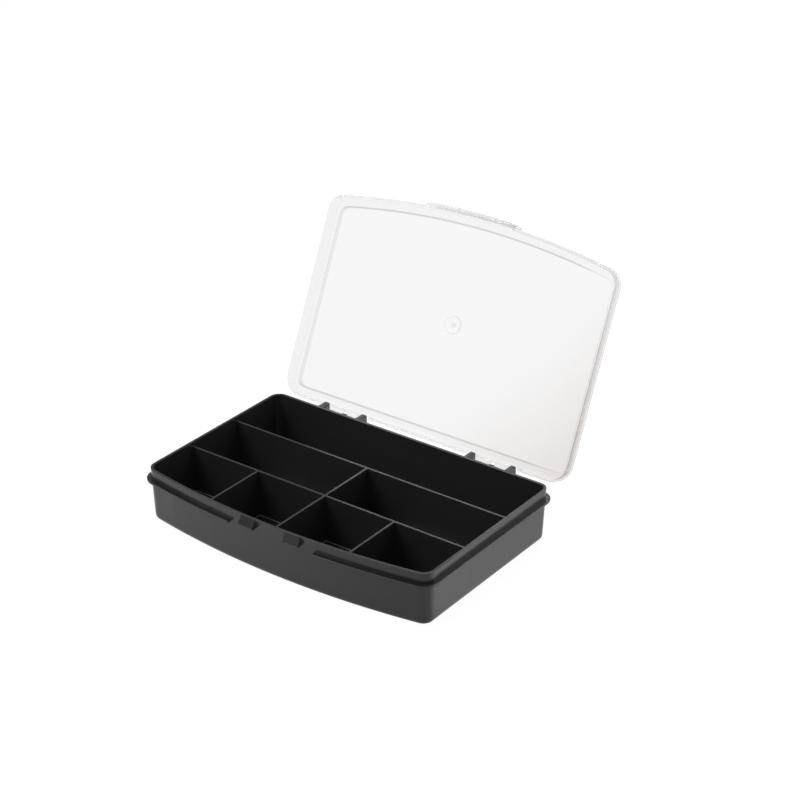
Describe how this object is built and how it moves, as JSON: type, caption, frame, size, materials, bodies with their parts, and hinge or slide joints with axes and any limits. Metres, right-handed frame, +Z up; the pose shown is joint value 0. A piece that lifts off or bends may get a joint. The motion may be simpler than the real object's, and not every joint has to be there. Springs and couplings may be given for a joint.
{
  "type": "compartment box for beads",
  "caption": "Shallow bow-fronted tray divided into fixed compartments, with a translucent lid that hinges at the back and snaps shut at the front.",
  "frame": {"origin": "middle of the flat underside of the tray, half way between the back of the rim and the middle of its bowed front", "axes": "+X across the box to its right, +Y from the bowed front to the hinges, +Z up"},
  "size_m": [0.1852, 0.1828, 0.1401],
  "materials": {
    "tray_plastic": "satin moulded polypropylene, near black",
    "lid_plastic": "translucent natural polypropylene, slightly milky"
  },
  "bodies": {
    "tray": {"tray": "tray_plastic"},
    "lid": {"lid": "lid_plastic"}
  },
  "joints": [
    {"name": "lid_hinge", "type": "hinge", "parent": "tray", "child": "lid", "pos_m": [0, 0.0644, 0.0242], "axis": [1, 0, 0], "range_deg": [0, 114.4]}
  ]
}
